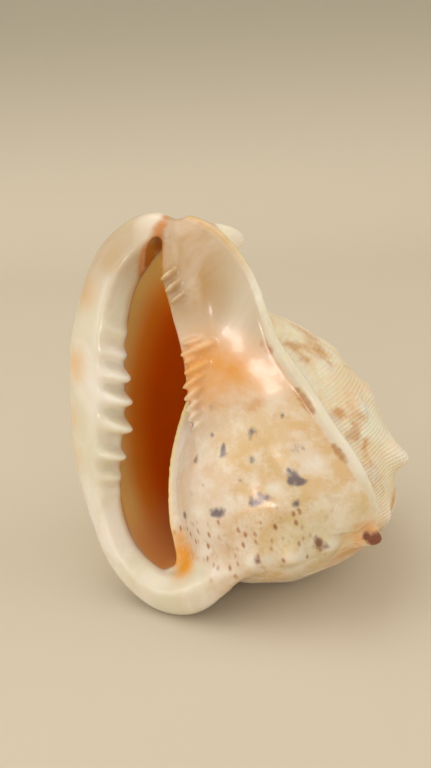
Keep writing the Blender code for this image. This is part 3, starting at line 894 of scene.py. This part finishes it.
def paintBody(tree, look, skin):
    # the whorls with their pale knobs, slanting rows of small brown flecks, and larger marks
    coat = blend(tree, skin.rough, paintFront(tree, look, skin), paintBack(tree, look, skin))
    sway = times(tree, skin.edge, look["fleckSway"])
    across = plus(tree, times(tree, skin.along, look["fleckAlong"]), sway)
    place = pair(tree, across, times(tree, skin.up, look["fleckUp"]))
    fleck, chance = cells(tree, place, look["fleckJitter"])
    flecks = times(tree, fade(tree, fleck, 0.42, 0.1), fade(tree, chance, 0.05, 0.3),
                   fade(tree, skin.height, 1.02, 0.97), fade(tree, skin.height, 0.4, 0.5),
                   fade(tree, skin.back, 252.0, 270.0), fade(tree, skin.cloud, 0.28, 0.45, 0.0, 0.8))
    layers = [
        (fade(tree, skin.knobs, 0.15, 0.9, 0.0, 0.45), "white"),
        (fade(tree, plus(tree, skin.pale, skin.edge), 0.2, 1.0, 0.0, 0.8), "white"), (flecks, "rust")]
    for name, colour, low, high, strength in look["marks"]:
        mark = plus(tree, getattr(skin, name), skin.edge)
        layers.append((fade(tree, mark, low, high, 0.0, strength), colour))
    return paintOver(tree, look, coat, layers)


def paintShield(tree, look, skin, coat):
    # smooth callus, tan and a little clear above, peach at its foot
    callus = blend(tree, fade(tree, skin.level, 1.42, 1.75), look["pink"], look["tan"])
    callus = paintOver(tree, look, callus, [
        (skin.greyed, "grey"), (fade(tree, skin.peach, 0.05, 0.9), "peach"),
        (fade(tree, skin.cloud, 0.4, 0.75, 0.0, 0.35), "white")])
    return blend(tree, skin.upper, coat, callus)


def paintLip(tree, look, skin, coat):
    # rim and lip, ivory with brown and orange blotches
    ivory = blend(tree, fade(tree, skin.cloud, 0.35, 0.7), look["ivory"], look["white"])
    top = times(tree, fade(tree, skin.level, 1.7, 1.95), skin.rimShare, 0.8)
    ivory = blend(tree, top, ivory, look["wheat"])
    rim = times(tree, skin.rimShare, fade(tree, skin.level, 1.5, 1.9, 1.0, 0.55))
    rimMark = plus(tree, skin.rimMarks, times(tree, skin.edge, 0.4))
    coat = blend(tree, rim, coat, ivory)
    coat = blend(tree, fade(tree, rimMark, 0.25, 0.8, 0.0, 0.75), coat, look["bark"])
    # the lip's side facing into the mouth is painted wheat: a painted glow of the lit orange inside
    inner = times(tree, skin.inner, fade(tree, skin.level, 1.95, 1.6), fade(tree, skin.level, 0.4, 0.7))
    lip = paintOver(tree, look, ivory, [
        (fade(tree, skin.lipMarks, 0.1, 0.9, 0.0, 0.7), "glow"),
        (fade(tree, skin.level, 1.65, 2.0, 0.0, 0.85), "smoke"),
        # the hollows between the teeth are painted grey: painted shade
        (fade(tree, skin.crest, -0.25, -1.0, 0.0, 0.3), "grey"), (inner, "wheat")])
    return blend(tree, times(tree, skin.lipShare, skin.lipEnd), coat, lip)


def paintInside(tree, look, skin, coat):
    # gold at the edge to deep orange far in, and the brown slot of the canal
    inside = blend(tree, fade(tree, skin.depth, 0.34, 0.66), look["gold"], look["orange"])
    inside = paintOver(tree, look, inside, [
        (fade(tree, skin.depth, 0.55, 1.0), "deep"), (fade(tree, skin.level, 0.7, 0.35), "dusk")])
    share = times(tree, skin.hollowShare, without(tree, skin.lipShare),
                  fade(tree, skin.shieldShare, 0.95, 0.4))
    slot = times(tree, skin.grooveShare, fade(tree, skin.depth, 0.9, 0.5),
                 fade(tree, skin.level, 2.06, 1.98))
    return paintOver(tree, look, blend(tree, share, coat, inside), [
        (slot, "amber"), (fade(tree, skin.slotEnd, 0.2, 0.8, 0.0, 0.9), "amber"),
        (fade(tree, skin.mouthHalo, 0.1, 1.1), "halo")])


def addRelief(tree, look, skin, shader):
    # glossy where it is glazed; ridges on the back, a faint net on the front
    smooth = largest(tree, skin.glaze, skin.lipShare, skin.upper, skin.hollowShare, skin.rimShare)
    dull = fade(tree, smooth, 0.2, 0.9, 0.55, 0.2)
    dull = plus(tree, dull, fade(tree, skin.speck, 0.3, 0.7, 0.0, 0.06))
    plug(tree, dull, shader.inputs["Roughness"])
    # no ridges by the canal, where the places on one whorl jump to those on the next
    below = fade(tree, skin.level, 1.78, 1.6)
    bare = times(tree, without(tree, skin.lipShare, skin.rimShare), below)
    chalk = times(tree, skin.rough, bare)
    front = times(tree, bare, without(tree, skin.upper), without(tree, skin.hollowShare), skin.glaze,
                  fade(tree, skin.back, 276.0, 300.0, 0.15, 1.0), fade(tree, skin.cloud, 0.3, 0.6))
    slanting = plus(tree, skin.up, times(tree, skin.along, look["slant"]))
    thread = waves(tree, slanting, look["threads"])
    net, web = waves(tree, skin.up, look["cords"]), waves(tree, skin.along, look["cords"])
    lift = plus(
        tree, times(tree, thread, chalk, look["threadLift"]),
        times(tree, plus(tree, net, web), front, look["netLift"]),
        times(tree, web, chalk, look["cordLift"]),
        times(tree, skin.speck, fade(tree, smooth, 0.2, 0.9, 0.5, 0.05)))
    bump = tree.nodes.new("ShaderNodeBump")
    bump.inputs["Strength"].default_value = 1.0
    bump.inputs["Distance"].default_value = look["bump"]
    plug(tree, lift, bump.inputs["Height"])
    plug(tree, bump.outputs["Normal"], shader.inputs["Normal"])


def paintShell():
    look = nacreLook
    material, tree, shader = startMaterial("glazedShell")
    skin = readSkin(tree, look)
    coat = paintShield(tree, look, skin, paintBody(tree, look, skin))
    coat = paintInside(tree, look, skin, paintLip(tree, look, skin, coat))
    # convex crests are whitened, partly as wear and partly as a painted highlight along ridges, the
    # lip's crease and the teeth; the horn is kept out
    worn = times(tree, fade(tree, skin.crest, 0.35, 1.3, 0.0, 0.6), without(tree, skin.upper),
                 fade(tree, skin.glaze, 1.0, 0.6, 0.35, 1.0), fade(tree, skin.horn, 0.5, 0.1))
    plug(tree, blend(tree, worn, coat, look["white"]), shader.inputs["Base Color"])
    addRelief(tree, look, skin, shader)
    for name, value in look["gloss"].items():
        shader.inputs[name].default_value = value
    return material


shell.data.materials.append(paintShell())
print("shell painted")


# camera, in front of the mouth and a little above it
viewForm = {
    "aim": (-0.0177, -0.0080, 0.1083), "distance": 0.522, "heading": 25.8, "down": 22.45,
    "roll": -3.45, "lens": 30.31, "sensor": 24.0,
}
camera = bpy.data.objects.new("camera", bpy.data.cameras.new("camera"))
camera.data.sensor_fit = "VERTICAL"
camera.data.sensor_height = viewForm["sensor"]
camera.data.lens = viewForm["lens"]
camera.data.clip_start = 0.01
camera.matrix_world = (
    Matrix.Translation(viewForm["aim"])
    @ Matrix.Rotation(radians(viewForm["heading"]), 4, "Z")
    @ Matrix.Rotation(radians(90.0 - viewForm["down"]), 4, "X")
    @ Matrix.Rotation(radians(viewForm["roll"]), 4, "Z")
    @ Matrix.Translation((0, 0, viewForm["distance"])))
bpy.context.scene.collection.objects.link(camera)
bpy.context.scene.camera = camera

# soft daylight from above, a small window for the gleam, and weak light from both sides
lampForm = {
    # place, size, power, colour
    "key": ((-0.5, -0.08, 1.6), 1.3, 8.0, "FFF9F0"),
    "window": ((-0.07, -1.1, 0.32), 0.12, 1.05, "FFF0EA"),
    "side": ((-0.85, -0.85, 0.5), 0.5, 1.1, "FFFFFF"),
    "fill": ((1.0, 0.5, 1.0), 0.9, 2.4, "FFF6E8"),
}
for name, (where, size, power, colour) in lampForm.items():
    lamp = bpy.data.objects.new(name, bpy.data.lights.new(name, "AREA"))
    lamp.data.shape = "SQUARE"
    lamp.data.size = size
    lamp.data.energy = power
    lamp.data.color = tint(colour)[:3]
    ahead = Vector(viewForm["aim"]) - Vector(where)
    lamp.matrix_world = Matrix.Translation(where) @ ahead.to_track_quat("-Z", "Y").to_matrix().to_4x4()
    bpy.context.scene.collection.objects.link(lamp)

# a plain room: the floor bends up into the wall behind, sizes in metres
roomForm = {
    # wall: darker than the floor, a painted shade on the upright part of the sweep
    "air": "FFF9F0", "airStrength": 0.8, "floor": "D5CAB6", "wall": "ABA593", "wallFrom": 0.3,
    "halfWidth": 2.5, "front": -2.0, "floorLength": 2.6, "bend": 0.04, "wallHeight": 2.5,
}
world = bpy.data.worlds.new("room")
bpy.context.scene.world = world
world.use_nodes = True
world.node_tree.nodes["Background"].inputs["Color"].default_value = tint(roomForm["air"])
world.node_tree.nodes["Background"].inputs["Strength"].default_value = roomForm["airStrength"]


def makeSweep():
    # the floor's front edge is pulled back, bent up and pulled on as the wall
    mesh = bmesh.new()
    start = [mesh.verts.new((side * roomForm["halfWidth"], roomForm["front"], 0.0)) for side in (-1, 1)]
    edges = [mesh.edges.new(start)]
    bend = roomForm["bend"]
    steps = [(0.0, roomForm["floorLength"], 0.0)]
    steps += [(0.0, bend * cos(radians(a)), bend * sin(radians(a))) for a in range(3, 90, 6)]
    steps += [(0.0, 0.0, roomForm["wallHeight"])]
    for step in steps:
        fresh, edges = pullEdges(mesh, edges)
        bmesh.ops.translate(mesh, vec=step, verts=list(fresh))
    turn = Matrix.Rotation(radians(viewForm["heading"]), 3, "Z")
    bmesh.ops.rotate(mesh, cent=(0, 0, 0), matrix=turn, verts=mesh.verts)
    bmesh.ops.recalc_face_normals(mesh, faces=mesh.faces)
    return addObject("floor", mesh)


def paintRoom():
    material, tree, shader = startMaterial("paper")
    place = tree.nodes.new("ShaderNodeSeparateXYZ")
    plug(tree, tree.nodes.new("ShaderNodeTexCoord").outputs["Object"], place.inputs[0])
    # the upright wall is painted darker than the floor: painted shade
    high = fade(tree, place.outputs["Z"], 0.0, roomForm["wallFrom"])
    colour = blend(tree, high, tint(roomForm["floor"]), tint(roomForm["wall"]))
    plug(tree, colour, shader.inputs["Base Color"])
    shader.inputs["Roughness"].default_value = 0.9
    return material


floor = makeSweep()
floor.data.shade_smooth()
floor.data.materials.append(paintRoom())
bpy.context.scene.view_settings.view_transform = "Standard"
print("camera, light and floor")
